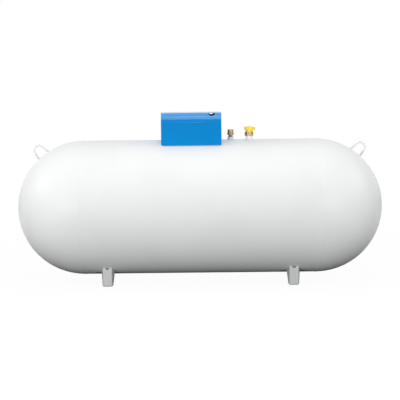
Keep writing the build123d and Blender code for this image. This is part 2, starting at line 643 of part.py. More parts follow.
def tank_nodes():
    """Every piece by its node name."""
    nodes = {"shell_barrel": shell_barrel()}
    for name, side in (("left", -1), ("right", 1)):
        nodes[f"head_{name}"] = head(side)
        nodes[f"lifting_lug_{name}"] = lifting_lug(side)
        nodes[f"leg_front_{name}"] = leg(side, -1)
        nodes[f"leg_rear_{name}"] = leg(side, 1)
        nodes[f"hood_end_{name}"] = hood_end(side)
        nodes[f"hinge_strap_{name}"] = hinge_strap(side)
        nodes[f"hinge_bracket_{name}"] = hinge_bracket(side)
        nodes[f"hinge_pin_{name}"] = hinge_pin(side)
    nodes["hood_cover"] = hood_cover()
    nodes["liquid_valve_coupling"] = coupling(
        LIQUID_VALVE_X, LIQUID_COUPLING, LIQUID_THREAD, LIQUID_COUPLING_TOP
    )
    nodes["liquid_valve_body"] = liquid_valve_body()
    nodes["liquid_valve_cap"] = liquid_valve_cap()
    nodes["fill_valve_coupling"] = coupling(FILL_VALVE_X, FILL_COUPLING, FILL_THREAD, FILL_COUPLING_TOP)
    nodes["fill_valve_body"] = fill_valve_body()
    nodes["fill_valve_cap"] = fill_valve_cap()
    nodes["fill_cap_lanyard"] = fill_cap_lanyard()
    nodes["service_valve_coupling"] = coupling(
        SERVICE_VALVE_X, SERVICE_COUPLING, SERVICE_THREAD, SERVICE_COUPLING_TOP
    )
    nodes["service_valve_body"] = service_valve_body()
    nodes["service_handwheel"] = service_handwheel()
    nodes["relief_valve_coupling"] = coupling(
        RELIEF_VALVE_X, RELIEF_COUPLING, RELIEF_THREAD, RELIEF_COUPLING_TOP
    )
    nodes["relief_valve_body"] = relief_valve_body()
    nodes["relief_valve_cap"] = relief_valve_cap()
    nodes["gauge_pad"] = gauge_pad()
    nodes["gauge_head"] = gauge_head()
    nodes["gauge_lens"] = gauge_lens()
    return nodes


if __name__ == "__main__":
    os.makedirs("parts", exist_ok=True)
    for node, solid in tank_nodes().items():
        export_step(solid, f"parts/{node}.step")
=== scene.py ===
"""Looks, light and camera of a horizontal pressure tank with a hinged hood over its valves."""

import logging
import math
from abc import ABC, abstractmethod
from contextlib import contextmanager
from dataclasses import dataclass, field
from enum import Enum
from typing import Any, Callable, Iterator, Sequence, Union

import bpy
from mathutils import Matrix, Vector


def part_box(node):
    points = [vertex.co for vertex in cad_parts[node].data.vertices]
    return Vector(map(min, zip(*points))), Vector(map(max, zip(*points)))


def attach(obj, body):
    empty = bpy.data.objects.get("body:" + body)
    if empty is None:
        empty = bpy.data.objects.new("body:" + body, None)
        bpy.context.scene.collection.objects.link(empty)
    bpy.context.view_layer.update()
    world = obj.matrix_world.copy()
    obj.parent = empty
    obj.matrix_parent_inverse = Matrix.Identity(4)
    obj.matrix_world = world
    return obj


LOG = logging.getLogger("tank")
Colour = tuple[float, float, float]
Span = tuple[float, float]
Number = Union["Field", float]
Piece = bpy.types.Object
Socket = bpy.types.NodeSocket
Material = bpy.types.Material

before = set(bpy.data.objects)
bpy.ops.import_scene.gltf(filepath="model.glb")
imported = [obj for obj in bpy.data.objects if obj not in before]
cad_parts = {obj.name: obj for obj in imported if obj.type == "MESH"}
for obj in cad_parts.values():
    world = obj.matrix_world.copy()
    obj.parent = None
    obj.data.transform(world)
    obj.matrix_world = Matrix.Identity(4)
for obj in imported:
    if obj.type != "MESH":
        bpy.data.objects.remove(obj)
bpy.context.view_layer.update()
WHITE: Colour = (1.0, 1.0, 1.0)
RIGHT, REAR, UP = Vector((1, 0, 0)), Vector((0, 1, 0)), Vector((0, 0, 1))
MERGE = 1e-6  # points closer than this, in metres, are one
ROUND_ANGLE = 60.0  # degrees up to which the edges of beads and rings are shaded smooth


class Body(Enum):
    """The two bodies that pieces ride on."""

    TANK = "tank"
    HOOD = "hood"


class Side(Enum):
    """The left and right of the tank, as signs along X."""

    LEFT = -1
    RIGHT = 1

    @property
    def label(self) -> str:
        """Left or right, as the nodes are named."""
        return self.name.lower()


class Slot(Enum):
    """Material slots of the record."""

    WHITE_PAINT = "white_paint"
    BLUE_PAINT = "blue_paint"
    PLATED_STEEL = "plated_steel"
    BRASS = "brass"
    YELLOW_PLASTIC = "yellow_plastic"
    GREY_PLASTIC = "grey_plastic"


def shares(steps: int) -> list[float]:
    """Even shares from 0 to 1, both ends among them."""
    return [i / steps for i in range(steps + 1)]


def round_turn(steps: int) -> list[tuple[float, float]]:
    """Cosines and sines once round a circle, the first again at the end."""
    turns = [math.tau * i / steps for i in range(steps)]
    return [(math.cos(turn), math.sin(turn)) for turn in turns + turns[:1]]


def top_of(node: str) -> Vector:
    """Middle of the upper face of a node's box."""
    low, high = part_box(node)
    return Vector(((low.x + high.x) / 2, (low.y + high.y) / 2, high.z))


class Field:
    """A number that varies over a surface: arithmetic on it adds Math nodes."""

    def __init__(self, graph: "Graph", socket: Socket) -> None:
        """Wraps one output socket of a graph."""
        self.graph = graph
        self.socket = socket

    def math(self, operation: str, *others: Number) -> "Field":
        """Adds a Math node with this field as its first input."""
        return self.graph.math(operation, self, *others)

    def __add__(self, other: Number) -> "Field":
        """Sum."""
        return self.math("ADD", other)

    __radd__ = __add__

    def __mul__(self, other: Number) -> "Field":
        """Product."""
        return self.math("MULTIPLY", other)

    __rmul__ = __mul__

    def __sub__(self, other: Number) -> "Field":
        """Difference."""
        return self.math("SUBTRACT", other)

    def __rsub__(self, other: Number) -> "Field":
        """Difference from a plain number."""
        return self.graph.math("SUBTRACT", other, self)

    def __truediv__(self, other: Number) -> "Field":
        """Quotient."""
        return self.math("DIVIDE", other)

    def __abs__(self) -> "Field":
        """Size without its sign."""
        return self.math("ABSOLUTE")

    def step(self, low: float, high: float) -> "Field":
        """Smooth rise from 0 at low to 1 at high, or a fall where low is the larger.

        Args:
            low: Where the result is 0.
            high: Where the result is 1.

        Returns:
            The rise, held between 0 and 1.
        """
        kind = {"interpolation_type": "SMOOTHSTEP"}
        node = self.graph.node("MapRange", kind, {"Value": self, "From Min": low, "From Max": high})
        return Field(self.graph, node.outputs["Result"])


class Graph:
    """The node tree of one material or of the world."""

    def __init__(self, owner: Material | bpy.types.World) -> None:
        """Empties the owner's tree down to an output node.

        Args:
            owner: The material or the world.
        """
        owner.use_nodes = True
        self.owner = owner
        self.tree = owner.node_tree
        self.tree.nodes.clear()
        self.output = self.node("OutputWorld" if isinstance(owner, bpy.types.World) else "OutputMaterial")

    @classmethod
    def of_material(cls, name: str) -> "Graph":
        """Starts the graph of a new material."""
        return cls(bpy.data.materials.new(name))

    def node(
        self, kind: str, settings: dict[str, Any] | None = None, inputs: dict[Any, Any] | None = None
    ) -> bpy.types.Node:
        """Adds one node.

        Args:
            kind: The shader node's type, without its ShaderNode prefix.
            settings: Properties, such as a Math node's operation, that are set first.
            inputs: Values or links of sockets, by name or number.

        Returns:
            The node.
        """
        node = self.tree.nodes.new("ShaderNode" + kind)
        for key, value in (settings or {}).items():
            setattr(node, key, value)
        for key, value in (inputs or {}).items():
            if isinstance(value, Field):
                value = value.socket
            if isinstance(value, Socket):
                self.tree.links.new(value, node.inputs[key])
            else:
                node.inputs[key].default_value = value
        return node

    def math(self, operation: str, *values: Number) -> Field:
        """Adds a Math node on fields and numbers, and returns its result."""
        node = self.node("Math", {"operation": operation}, dict(enumerate(values)))
        return Field(self, node.outputs[0])

    def place(self) -> tuple[Field, Field, Field, Socket]:
        """Reads where a point lies on its piece, in metres.

        Returns:
            The point's x, y and z, and the same as one vector socket.
        """
        vector = self.node("TexCoord").outputs["Object"]
        parts = self.node("SeparateXYZ", inputs={"Vector": vector})
        x, y, z = (Field(self, parts.outputs[axis]) for axis in "XYZ")
        return x, y, z, vector

    def noise(self, vector: Socket, scale: float, detail: float = 2.0) -> Field:
        """Adds cloudy noise.

        Args:
            vector: Where the noise is read.
            scale: Lumps per metre.
            detail: Layers of finer noise.

        Returns:
            Values round one half.
        """
        node = self.node("TexNoise", inputs={"Vector": vector, "Scale": scale, "Detail": detail})
        return Field(self, node.outputs["Fac"])

    def mix(self, factor: Number, first: Colour | Socket, second: Colour | Socket) -> Socket:
        """Blends two colours.

        Args:
            factor: 0 for the first colour, 1 for the second.
            first: A colour or a colour socket.
            second: A colour or a colour socket.

        Returns:
            The blend's socket.
        """
        colours = [(*c, 1.0) if isinstance(c, tuple) else c for c in (first, second)]
        node = self.node("Mix", {"data_type": "RGBA"}, {0: factor, 6: colours[0], 7: colours[1]})
        return node.outputs[2]

    def bump(self, relief: Field, normal: Socket | None = None) -> Socket:
        """Adds a Bump node.

        Args:
            relief: Height of the surface in metres.
            normal: The normal to bend, where it isn't the mesh's own.

        Returns:
            The bent normal's socket.
        """
        sockets = {"Height": relief, "Distance": 1.0, "Strength": 1.0}
        if normal:
            sockets["Normal"] = normal
        return self.node("Bump", inputs=sockets).outputs["Normal"]

    def close(self, shader: bpy.types.Node) -> None:
        """Links a shader to the output."""
        self.tree.links.new(shader.outputs[0], self.output.inputs["Surface"])


@dataclass(frozen=True)
class Finish(ABC):
    """A procedural finish; each kind says what it feeds to the surface shader."""

    name: str

    @abstractmethod
    def sockets(self, graph: Graph) -> dict[str, Any]:
        """Adds the finish's own nodes.

        Args:
            graph: The graph of the finish's material.

        Returns:
            Values or links of the surface shader's sockets, by name.
        """

    def material(self) -> Material:
        """Makes the material.

        Returns:
            The finished material.
        """
        graph = Graph.of_material(self.name)
        graph.close(graph.node("BsdfPrincipled", inputs=self.sockets(graph)))
        return graph.owner


@dataclass(frozen=True)
class Enamel(Finish):
    """Sprayed gloss enamel over plate, with orange peel and a faint unevenness of shade."""

    colour: Colour
    shade: Colour
    roughness: float = 0.40
    gloss_spread: float = 0.10
    specular: float = 0.25
    coat: float = 0.06
    coat_roughness: float = 0.12
    peel_scale: float = 260.0
    peel_depth: float = 0.00010
    cloud_scale: float = 2.2
    cloud_range: Span = (0.45, 0.75)
    cloud_share: float = 0.55
    specks_per_cloud: float = 60.0
    speck_range: Span = (0.55, 0.8)
    speck_share: float = 0.25
    seam_x: float = 0.0
    seam_half_width: float = 0.010
    ripple_scale: float = 95.0
    ripple_depth: float = 0.0004
    head_radius: float = 0.0
    axis_z: float = 0.0
    tip_depths: Span = (0.0040, 0.0015)

    def true_normal(self, graph: Graph) -> Socket:
        """Mends the normal at the tip of each head, where the mesh shades unevenly.

        Args:
            graph: The enamel's graph.

        Returns:
            The mesh's normal, and at the tips that of the head's curve.
        """
        x, y, z, _ = graph.place()
        arm = {"X": x - x.math("SIGN") * self.seam_x, "Y": y, "Z": z - self.axis_z}
        arm_socket = graph.node("CombineXYZ", inputs=arm).outputs[0]
        curve = graph.node("VectorMath", {"operation": "NORMALIZE"}, {0: arm_socket}).outputs[0]
        mesh = graph.node("NewGeometry").outputs["Normal"]
        at_tip = abs(x).step(*(self.seam_x + self.head_radius - depth for depth in self.tip_depths))
        return graph.node("Mix", {"data_type": "VECTOR"}, {0: at_tip, 4: mesh, 5: curve}).outputs[1]

    def sockets(self, graph: Graph) -> dict[str, Any]:
        """Feeds shade, gloss and peel, and weld ripples beside the girth seams where it has them.

        Args:
            graph: The graph of the finish's material.

        Returns:
            Values or links of the surface shader's sockets, by name.
        """
        x, _, _, place = graph.place()
        clouds = graph.noise(place, self.cloud_scale, detail=4.0)
        specks = graph.noise(place, self.cloud_scale * self.specks_per_cloud, detail=3.0)
        worn = clouds.step(*self.cloud_range) * self.cloud_share
        worn = worn + specks.step(*self.speck_range) * self.speck_share
        relief = graph.noise(place, self.peel_scale) * self.peel_depth
        if self.seam_x:
            beside = abs(abs(x) - self.seam_x).step(self.seam_half_width, 0.0)
            ripples = graph.noise(place, self.ripple_scale, detail=1.0)
            relief = relief + beside * ripples * self.ripple_depth
        return {
            "Base Color": graph.mix(worn, self.colour, self.shade),
            "Roughness": clouds * self.gloss_spread + (self.roughness - self.gloss_spread / 2),
            "Specular IOR Level": self.specular,
            "Coat Weight": self.coat,
            "Coat Roughness": self.coat_roughness,
            "Normal": graph.bump(relief, self.true_normal(graph) if self.head_radius else None),
        }


@dataclass(frozen=True)
class Brass(Finish):
    """Turned brass, bright on the lands and dulled brown in patches."""

    bright: Colour
    dull: Colour
    roughness: float = 0.32
    metallic: float = 0.95
    patch_scale: float = 55.0
    patch_range: Span = (0.42, 0.68)
    patch_dulling: float = 0.16
    grain_scale: float = 900.0
    grain_dulling: float = 0.08
    turning_pitch: float = 0.0011
    turning_depth: float = 0.00005

    def sockets(self, graph: Graph) -> dict[str, Any]:
        """Feeds tarnish, gloss and fine turning marks round the upright axis.

        Args:
            graph: The graph of the finish's material.

        Returns:
            Values or links of the surface shader's sockets, by name.
        """
        _, _, z, place = graph.place()
        grain = graph.noise(place, self.grain_scale)
        tarnish = graph.noise(place, self.patch_scale, detail=5.0).step(*self.patch_range)
        marks = (z * (math.tau / self.turning_pitch)).math("SINE") * 0.5 + 0.5
        return {
            "Base Color": graph.mix(tarnish, self.bright, self.dull),
            "Roughness": tarnish * self.patch_dulling + grain * self.grain_dulling + self.roughness,
            "Metallic": self.metallic,
            "Normal": graph.bump(marks * self.turning_depth + grain * self.turning_depth),
        }


@dataclass(frozen=True)
class MouldedPlastic(Finish):
    """Moulded plastic with a fine spark texture and pale scuffs."""

    colour: Colour
    scuff: Colour
    roughness: float = 0.42
    scuff_scale: float = 130.0
    scuff_range: Span = (0.56, 0.72)
    scuff_share: float = 0.5
    scuff_dulling: float = 0.18
    texture_scale: float = 700.0
    texture_depth: float = 0.00008

    def sockets(self, graph: Graph) -> dict[str, Any]:
        """Feeds scuffs and the texture of the mould.

        Args:
            graph: The graph of the finish's material.

        Returns:
            Values or links of the surface shader's sockets, by name.
        """
        place = graph.place()[-1]
        spark = graph.noise(place, self.texture_scale, detail=3.0)
        scuffs = graph.noise(place, self.scuff_scale, detail=6.0).step(*self.scuff_range)
        return {
            "Base Color": graph.mix(scuffs * self.scuff_share, self.colour, self.scuff),
            "Roughness": scuffs * self.scuff_dulling + self.roughness,
            "Normal": graph.bump(spark * self.texture_depth),
        }


@dataclass(frozen=True)
class BareMetal(Finish):
    """Plated or cast metal with a mottled skin."""

    colour: Colour
    mottle: Colour
    roughness: float
    skin_scale: float
    skin_depth: float
    metallic: float = 0.95
    grains_per_patch: float = 9.0
    patch_range: Span = (0.4, 0.7)
    patch_dulling: float = 0.12

    def sockets(self, graph: Graph) -> dict[str, Any]:
        """Feeds the patches and grain of the skin.

        Args:
            graph: The graph of the finish's material.

        Returns:
            Values or links of the surface shader's sockets, by name.
        """
        place = graph.place()[-1]
        skin = graph.noise(place, self.skin_scale, detail=4.0)
        patch_scale = self.skin_scale / self.grains_per_patch
        patches = graph.noise(place, patch_scale, detail=3.0).step(*self.patch_range)
        return {
            "Base Color": graph.mix(patches, self.colour, self.mottle),
            "Roughness": patches * self.patch_dulling + self.roughness,
            "Metallic": self.metallic,
            "Normal": graph.bump(skin * self.skin_depth),
        }


@dataclass(frozen=True)
class ClearPlastic(Finish):
    """Clear moulded lens with faint haze."""

    colour: Colour = (0.95, 0.97, 0.97)
    roughness: float = 0.03
    ior: float = 1.49
    haze_scale: float = 160.0
    haze_range: Span = (0.45, 0.75)
    haze_dulling: float = 0.10

    def sockets(self, graph: Graph) -> dict[str, Any]:
        """Feeds clear plastic with haze in its gloss.

        Args:
            graph: The graph of the finish's material.

        Returns:
            Values or links of the surface shader's sockets, by name.
        """
        haze = graph.noise(graph.place()[-1], self.haze_scale, detail=4.0).step(*self.haze_range)
        return {
            "Base Color": (*self.colour, 1.0),
            "Roughness": haze * self.haze_dulling + self.roughness,
            "Transmission Weight": 1.0,
            "IOR": self.ior,
        }


@dataclass(frozen=True)
class DialFace(Finish):
    """Printed dial: a pale disc with a rim line and a ring of dark ticks."""

    centre: Vector
    radius: float
    pale: Colour = (0.82, 0.82, 0.78)
    ink: Colour = (0.02, 0.02, 0.02)
    ticks: int = 40
    tick_edge: Span = (0.13, 0.104)
    tick_ring: tuple[Span, Span] = ((0.70, 0.72), (0.92, 0.90))
    rim_ring: tuple[Span, Span] = ((0.93, 0.95), (0.985, 0.965))
    roughness: float = 0.45
    paper_scale: float = 300.0
    paper_dulling: float = 0.1

    def sockets(self, graph: Graph) -> dict[str, Any]:
        """Feeds the print, its ticks drawn by angle and distance from the dial's centre.

        Args:
            graph: The graph of the finish's material.

        Returns:
            Values or links of the surface shader's sockets, by name.
        """
        x, y, _, place = graph.place()
        across, up = x - self.centre.x, y - self.centre.y
        reach = (across * across + up * up).math("SQRT") / self.radius
        turn = up.math("ARCTAN2", across) * (self.ticks / math.tau)
        in_tick = abs(turn.math("FRACT") - 0.5).step(*self.tick_edge)
        rings = (self.tick_ring, self.rim_ring)
        in_ring, rim = (reach.step(*inner) * reach.step(*outer) for inner, outer in rings)
        inked = (in_tick * in_ring).math("MAXIMUM", rim)
        return {
            "Base Color": graph.mix(inked, self.pale, self.ink),
            "Roughness": graph.noise(place, self.paper_scale) * self.paper_dulling + self.roughness,
        }


class Finishes:
    """Every finish of the tank, each made once."""

    def __init__(self, vessel: "Vessel", gauge: "LevelGauge") -> None:
        """Makes the materials.

        Args:
            vessel: The barrel and heads, for the places of their seams and tips.
            gauge: The level gauge, for the place and size of its dial.
        """
        self.vessel_white = Enamel(
            "vessel_white",
            (0.80, 0.81, 0.81),
            (0.755, 0.765, 0.762),
            specular=0.12,
            coat=0.03,
            seam_x=vessel.girth_x,
            ripple_depth=0.0002,
            head_radius=vessel.radius,
            axis_z=vessel.axis_z,
        ).material()
        # The tank's white paint, a little darker: painted shade for the lugs, couplings, pads, brackets
        # and welds.
        self.shaded_fitting_white = Enamel(
            "shaded_fitting_white", (0.76, 0.77, 0.77), (0.72, 0.73, 0.728), peel_scale=420.0
        ).material()
        # The tank's white paint, much darker: painted shade for the legs and their welds, which stand
        # under the barrel.
        self.shaded_leg_white = Enamel(
            "shaded_leg_white", (0.61, 0.62, 0.62), (0.57, 0.58, 0.578), peel_scale=420.0
        ).material()
        self.hood_blue = Enamel(
            "hood_blue",
            (0.0008, 0.237, 0.615),
            (0.0006, 0.220, 0.575),
            roughness=0.36,
            specular=0.06,
            coat=0.80,
            cloud_scale=7.0,
        ).material()
        self.wheel_green = Enamel(
            "wheel_green", (0.03, 0.19, 0.07), (0.025, 0.14, 0.05), roughness=0.3, cloud_scale=30.0
        ).material()
        self.brass = Brass("valve_brass", (0.68, 0.48, 0.235), (0.32, 0.21, 0.09)).material()
        self.cap_yellow = MouldedPlastic("cap_yellow", (0.90, 0.70, 0.025), (0.92, 0.80, 0.25)).material()
        self.cap_grey = MouldedPlastic("cap_grey", (0.20, 0.21, 0.22), (0.33, 0.34, 0.35)).material()
        self.pin_steel = BareMetal(
            "pin_steel", (0.58, 0.58, 0.55), (0.42, 0.41, 0.37), 0.34, 600.0, 0.00006
        ).material()
        self.gauge_alloy = BareMetal(
            "gauge_alloy", (0.62, 0.63, 0.64), (0.50, 0.51, 0.52), 0.46, 420.0, 0.00022
        ).material()
        self.lens_clear = ClearPlastic("lens_clear").material()
        self.pointer_red = MouldedPlastic("pointer_red", (0.62, 0.03, 0.02), (0.70, 0.10, 0.08)).material()
        self.dial_face = DialFace("dial_face", gauge.centre, gauge.dial / 2).material()


class Bench:
    """Modelling tools that work on one new piece at a time."""

    @staticmethod
    def clear() -> None:
        """Leaves edit mode and deselects everything."""
        if bpy.context.mode != "OBJECT":
            bpy.ops.object.mode_set(mode="OBJECT")
        bpy.ops.object.select_all(action="DESELECT")

    @staticmethod
    def only(piece: Piece) -> None:
        """Selects one piece alone and makes it active.

        Args:
            piece: The piece.
        """
        Bench.clear()
        piece.select_set(True)
        bpy.context.view_layer.objects.active = piece

    @staticmethod
    def start(name: str, add: Callable[..., Any], **settings: Any) -> Piece:
        """Adds a primitive to shape.

        Args:
            name: The piece's name.
            add: The operator that adds the primitive.
            settings: The operator's settings.

        Returns:
            The new object, its place in its mesh.
        """
        Bench.clear()
        add(**settings)
        piece = bpy.context.active_object
        piece.name = name
        piece.data.name = name
        Bench.settle(piece)
        return piece

    @staticmethod
    def drum(
        name: str, sides: int, radius: float, height: float, seat: Vector, lying: bool = False
    ) -> Piece:
        """Adds a cylinder or prism to shape.

        Args:
            name: The piece's name.
            sides: Number of its sides.
            radius: Radius to its corners.
            height: Distance between its ends.
            seat: Middle of the end that it stands on.
            lying: Whether it lies with its other end to the rear, not upright.

        Returns:
            The new object, its place in its mesh.
        """
        return Bench.start(
            name,
            bpy.ops.mesh.primitive_cylinder_add,
            vertices=sides,
            radius=radius,
            depth=height,
            rotation=(math.pi / 2 if lying else 0.0, 0, 0),
            location=seat + (REAR if lying else UP) * (height / 2),
        )

    @staticmethod
    @contextmanager
    def editing(piece: Piece) -> Iterator[None]:
        """Edit mode on one piece, left again at the end.

        Args:
            piece: The piece.
        """
        Bench.only(piece)
        bpy.ops.object.mode_set(mode="EDIT")
        yield
        bpy.ops.object.mode_set(mode="OBJECT")

    @staticmethod
    def pick_facing(piece: Piece, direction: Vector, least: float = 0.9) -> None:
        """Selects the faces that look one way; called in object mode.

        Args:
            piece: The piece.
            direction: Where the faces look, as a vector of length 1.
            least: Cosine of the widest angle from there.
        """
        bpy.context.tool_settings.mesh_select_mode = (False, False, True)
        mesh = piece.data
        for part in (mesh.vertices, mesh.edges):
            part.foreach_set("select", [False] * len(part))
        for face in mesh.polygons:
            face.select = face.normal.dot(direction) > least

    @staticmethod
    def pick_all() -> None:
        """Selects the whole mesh that is being edited."""
        bpy.ops.mesh.select_all(action="SELECT")

    @staticmethod
    def pull(offset: Vector) -> None:
        """Extrudes what is selected in edit mode by an offset."""
        bpy.ops.mesh.extrude_region_move(TRANSFORM_OT_translate={"value": offset})

    @staticmethod
    def settle(piece: Piece) -> None:
        """Moves a piece's place into its mesh, so that its object sits at the origin."""
        Bench.only(piece)
        bpy.ops.object.transform_apply(location=True, rotation=True, scale=True)

    @staticmethod
    def modify(piece: Piece, kind: str, **settings: Any) -> None:
        """Adds a modifier and applies it.

        Args:
            piece: The piece.
            kind: The modifier's type.
            settings: The modifier's settings.
        """
        Bench.only(piece)
        modifier = piece.modifiers.new(kind.lower(), kind)
        for key, value in settings.items():
            setattr(modifier, key, value)
        bpy.ops.object.modifier_apply(modifier=modifier.name)

    @staticmethod
    def smooth(piece: Piece, degrees: float = 35.0) -> None:
        """Shades a piece smooth, apart from edges sharper than an angle."""
        Bench.only(piece)
        bpy.ops.object.shade_smooth_by_angle(angle=math.radians(degrees))

    @staticmethod
    def outward(piece: Piece) -> None:
        """Merges doubled points and turns all faces outwards.

        Args:
            piece: The piece.
        """
        with Bench.editing(piece):
            Bench.pick_all()
            bpy.ops.mesh.remove_doubles(threshold=MERGE)
            bpy.ops.mesh.normals_make_consistent(inside=False)

    @staticmethod
    def join(name: str, pieces: Sequence[Piece]) -> Piece:
        """Joins pieces into one.

        Args:
            name: The joined piece's name.
            pieces: The pieces, of which the first is kept.

        Returns:
            The joined piece.
        """
        Bench.clear()
        for piece in pieces:
            piece.select_set(True)
        bpy.context.view_layer.objects.active = pieces[0]
        bpy.ops.object.join()
        pieces[0].name = name
        pieces[0].data.name = name
        return pieces[0]

    @staticmethod
    def repeat(make: Callable[[str, Vector], Piece], stem: str, seats: Sequence[Vector]) -> list[Piece]:
        """Models a piece on the first of several seats and copies it, mesh and all, to the others.

        Args:
            make: Models one piece with a name on a seat.
            stem: Start of the pieces' names, which a number follows.
            seats: Where the pieces stand.

        Returns:
            The pieces.
        """
        pieces = [make(f"{stem}_1", seats[0])]
        for number, seat in enumerate(seats[1:], start=2):
            Bench.only(pieces[0])
            bpy.ops.object.duplicate(linked=False)
            twin = bpy.context.active_object
            twin.name = f"{stem}_{number}"
            twin.location = seat - seats[0]
            Bench.settle(twin)
            pieces.append(twin)
        return pieces

    @staticmethod
    def rod(name: str, route: Sequence[Vector], radius: float, sides: int = 4) -> Piece:
        """Draws a line point by point and gives it a round section.

        Args:
            name: The piece's name.
            route: Points of the line; a last point equal to the first closes it.
            radius: Radius of the section.
            sides: Fineness of the section.

        Returns:
            The rod as a mesh.
        """
        closed = (route[0] - route[-1]).length < MERGE
        rod = Bench.start(name, bpy.ops.mesh.primitive_plane_add, size=radius, location=route[0])
        with Bench.editing(rod):
            bpy.context.tool_settings.mesh_select_mode = (True, False, False)
            Bench.pick_all()
            bpy.ops.mesh.merge(type="CENTER")
            for last, here in zip(route, route[1:]):
                Bench.pull(here - last)
            if closed:
                Bench.pick_all()
                bpy.ops.mesh.remove_doubles(threshold=MERGE)
        Bench.only(rod)
        bpy.ops.object.convert(target="CURVE")
        rod.data.bevel_depth = radius
        rod.data.bevel_resolution = sides
        rod.data.use_fill_caps = not closed
        bpy.ops.object.convert(target="MESH")
        Bench.outward(rod)
        return rod

    @staticmethod
    def finish(piece: Piece, material: Material, body: Body, slot: Slot) -> None:
        """Gives a new piece its material and its body.

        Args:
            piece: The piece.
            material: Its finish.
            body: The body that it rides on.
            slot: The record's slot that the finish belongs to; not used.
        """
        piece.data.materials.clear()
        piece.data.materials.append(material)
        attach(piece, body.value)
        LOG.info("built %s: %d faces", piece.name, len(piece.data.polygons))

    @staticmethod
    def dress(material: Material, *nodes: str) -> None:
        """Gives CAD nodes a material.

        Args:
            material: The finish.
            nodes: The nodes' names.
        """
        for node in nodes:
            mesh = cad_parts[node].data
            mesh.materials.clear()
            mesh.materials.append(material)
            LOG.info("dressed %s with %s", node, material.name)


@dataclass(frozen=True)
class Weld:
    """Hand-laid weld bead with an uneven surface, under paint."""

    radius: float = 0.004
    lump_size: float = 0.006
    lump_height: float = 0.0012

    def lay(self, name: str, routes: Sequence[Sequence[Vector]]) -> Piece:
        """Lays beads along routes as one piece.

        Args:
            name: The piece's name.
            routes: Lines of points, one for each bead.

        Returns:
            The piece.
        """
        beads = [Bench.rod(f"{name}_{i}", route, self.radius) for i, route in enumerate(routes)]
        bead = Bench.join(name, beads)
        lumps = bpy.data.textures.new(name, "CLOUDS")
        lumps.noise_scale = self.lump_size
        Bench.modify(bead, "DISPLACE", texture=lumps, strength=self.lump_height, mid_level=0.5)
        Bench.smooth(bead, ROUND_ANGLE)
        return bead


@dataclass
class Vessel:
    """Barrel and heads, and the curve that other pieces are fitted to."""

    crown: float = 0.0012
    steps: int = 40
    girth_x: float = field(init=False)
    radius: float = field(init=False)
    axis_z: float = field(init=False)

    def __post_init__(self) -> None:
        """Reads the vessel's sizes from the frame."""
        low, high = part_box("shell_barrel")
        self.girth_x = high.x
        self.radius = (high.z - low.z) / 2 - self.crown
        self.axis_z = (high.z + low.z) / 2

    @property
    def crest_z(self) -> float:
        """Height of the barrel's top line."""
        return self.axis_z + self.radius

    def over(self, x: float, y: float) -> Vector:
        """Point on the barrel's upper side."""
        return Vector((x, y, self.axis_z + math.sqrt(self.radius**2 - y**2)))

    def under(self, x: float, y: float) -> Vector:
        """Point on the barrel's lower side."""
        return Vector((x, y, self.axis_z - math.sqrt(self.radius**2 - y**2)))

    def on_head(self, point: Vector) -> Vector:
        """Nearest point on the right head's outside."""
        middle = Vector((self.girth_x, 0, self.axis_z))
        return middle + (point - middle).normalized() * self.radius

    def ring(self, node: str) -> list[Vector]:
        """Closed line on the barrel round an upright fitting on its crest.

        Args:
            node: The fitting's node.

        Returns:
            The line's points.
        """
        low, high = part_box(node)
        x, radius = (low.x + high.x) / 2, (high.x - low.x) / 2
        return [self.over(x + radius * cos, radius * sin) for cos, sin in round_turn(self.steps)]

    def dress(self, finishes: Finishes) -> None:
        """Paints the barrel and the heads."""
        Bench.dress(finishes.vessel_white, "shell_barrel", "head_left", "head_right")


@dataclass
class LiftingLug:
    """Bent bar loop on one head, with a weld round each foot."""

    vessel: Vessel
    side: Side
    bar: float = 0.016
    bend: float = 0.038
    splay: float = math.radians(9.0)
    height: float = 0.097
    lean: float = math.radians(38.0)
    weld: Weld = Weld(0.003, lump_size=0.004, lump_height=0.0008)
    steps: int = 24

    def foot_ring(self, foot: int) -> list[Vector]:
        """Closed line on the head round one foot of the loop.

        Args:
            foot: -1 for the inner foot, 1 for the outer one.

        Returns:
            The line's points.
        """
        drop = self.height - self.bar / 2 - self.bend + self.bend * math.sin(self.splay)
        reach = self.bend * math.cos(self.splay) + drop * math.tan(self.splay)
        outward = Vector((math.sin(self.lean), 0, math.cos(self.lean)))
        along = Vector((math.cos(self.lean), 0, -math.sin(self.lean)))
        middle = Vector((self.vessel.girth_x, 0, self.vessel.axis_z))
        centre = middle + outward * self.vessel.radius + along * (foot * reach)
        across = along * math.cos(self.splay) + outward * (foot * math.sin(self.splay))
        points = []
        for cos, sin in round_turn(self.steps):
            point = self.vessel.on_head(centre + (across * cos + REAR * sin) * (self.bar / 2))
            point.x *= self.side.value
            points.append(point)
        return points

    def build(self, finishes: Finishes) -> None:
        """Welds the loop on and paints it.

        Args:
            finishes: The finishes.
        """
        bead = self.weld.lay(f"weld_lug_{self.side.label}", [self.foot_ring(-1), self.foot_ring(1)])
        Bench.finish(bead, finishes.shaded_fitting_white, Body.TANK, Slot.WHITE_PAINT)
        Bench.dress(finishes.shaded_fitting_white, f"lifting_lug_{self.side.label}")


